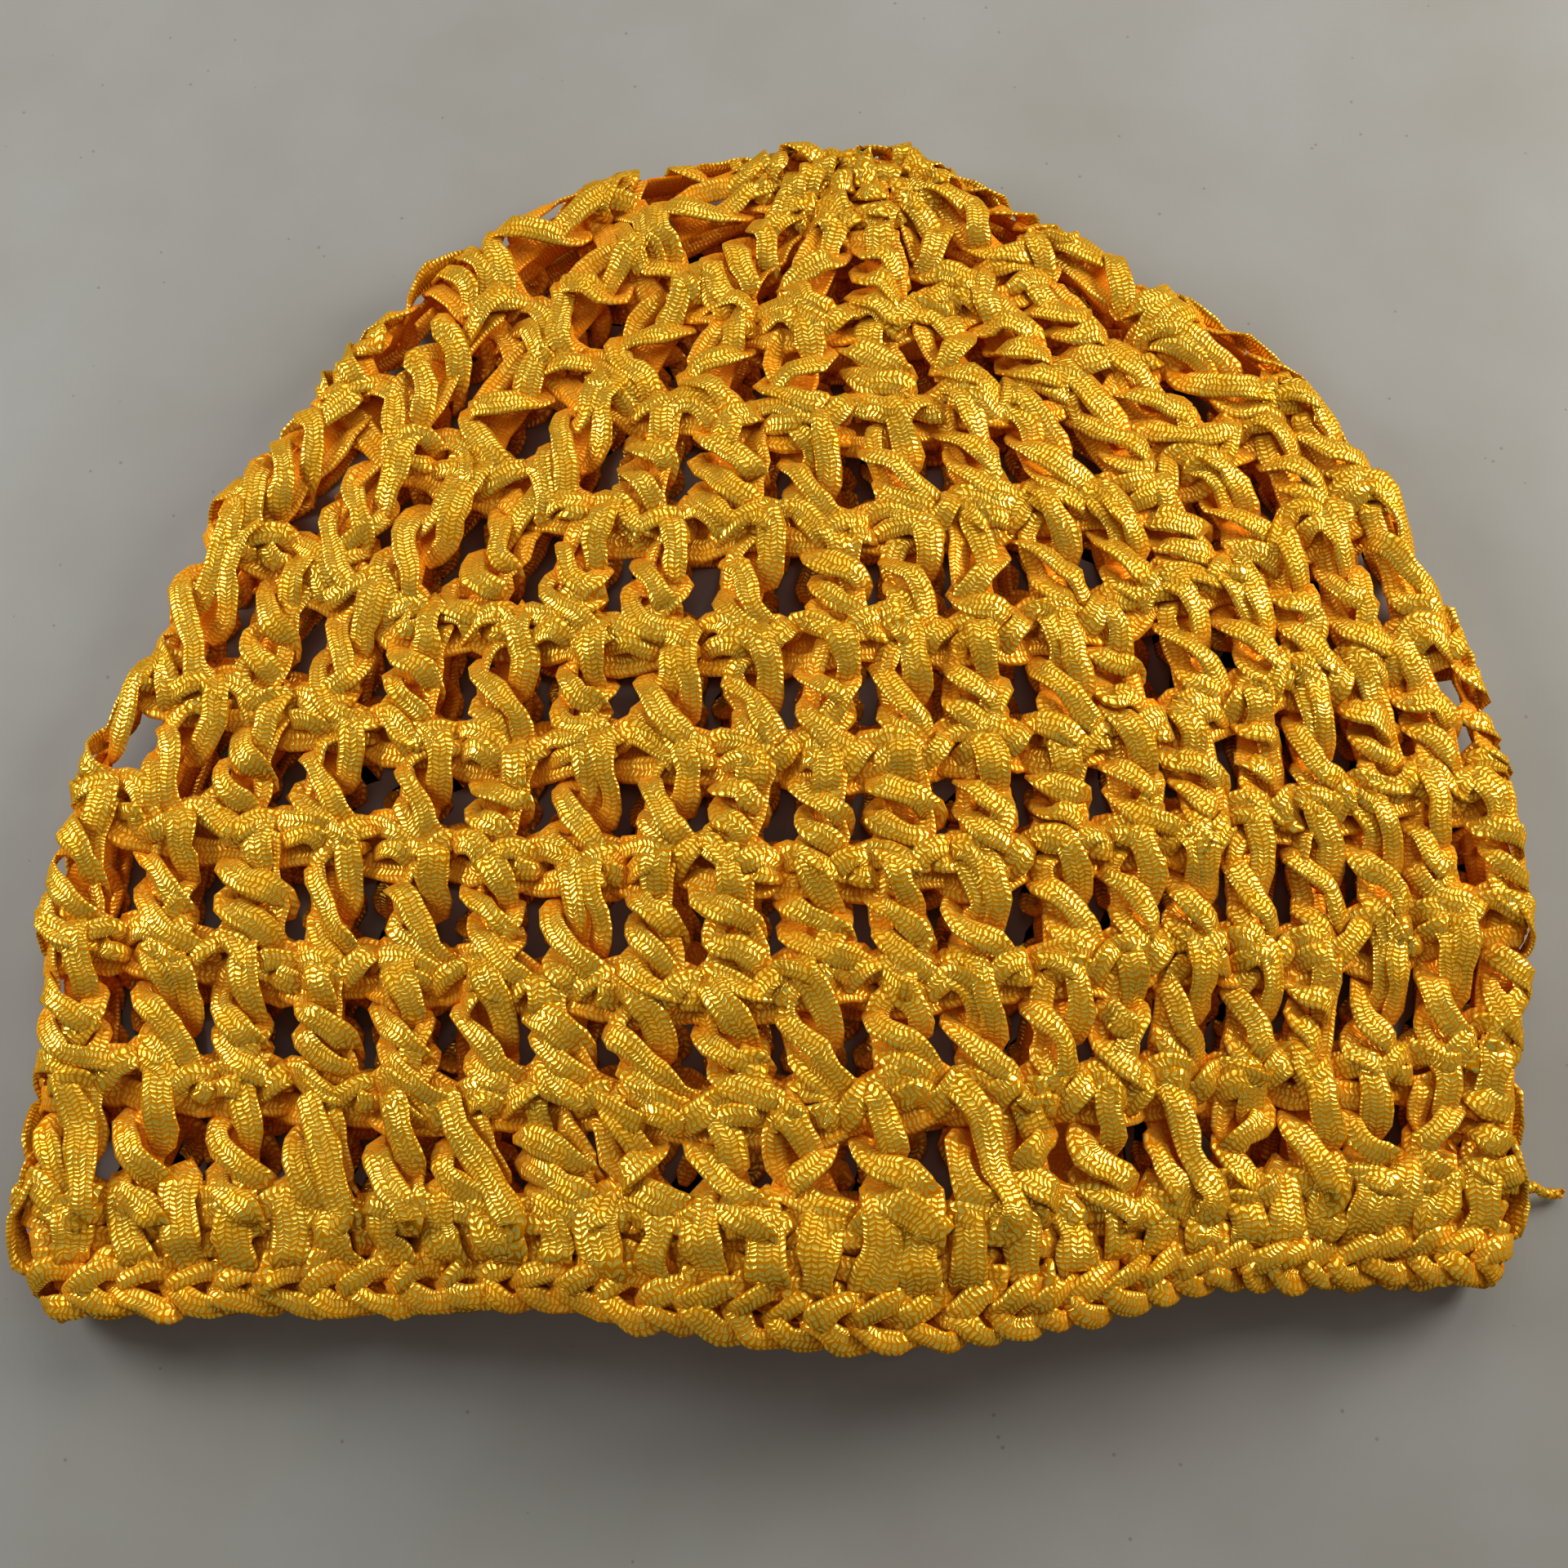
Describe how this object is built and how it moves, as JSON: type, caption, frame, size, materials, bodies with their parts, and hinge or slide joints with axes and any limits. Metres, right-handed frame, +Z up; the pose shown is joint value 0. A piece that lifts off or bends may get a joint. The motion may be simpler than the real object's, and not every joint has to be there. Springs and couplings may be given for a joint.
{
  "type": "hair net cap",
  "caption": "Openwork crocheted cap of flat ribbon yarn, lying flat: dense crown, rounds of tall stitches, plain hem band and chain edge.",
  "frame": {"origin": "on the surface that the cap lies on, under the middle of its box", "axes": "+X along the hem, to the right as seen from above with the crown at the top; +Y from the hem to the crown; +Z up"},
  "size_m": [0.2535, 0.2212, 0.0294],
  "materials": {
    "yarn": "shiny golden-yellow knitted ribbon yarn"
  },
  "bodies": {
    "root": {"crown": "yarn", "round_1": "yarn", "round_2": "yarn", "round_3": "yarn", "round_4": "yarn", "round_5": "yarn", "round_6": "yarn", "round_7": "yarn", "round_8": "yarn", "round_9": "yarn", "hem_band": "yarn", "edge_chain": "yarn", "yarn_end": "yarn"}
  },
  "joints": []
}
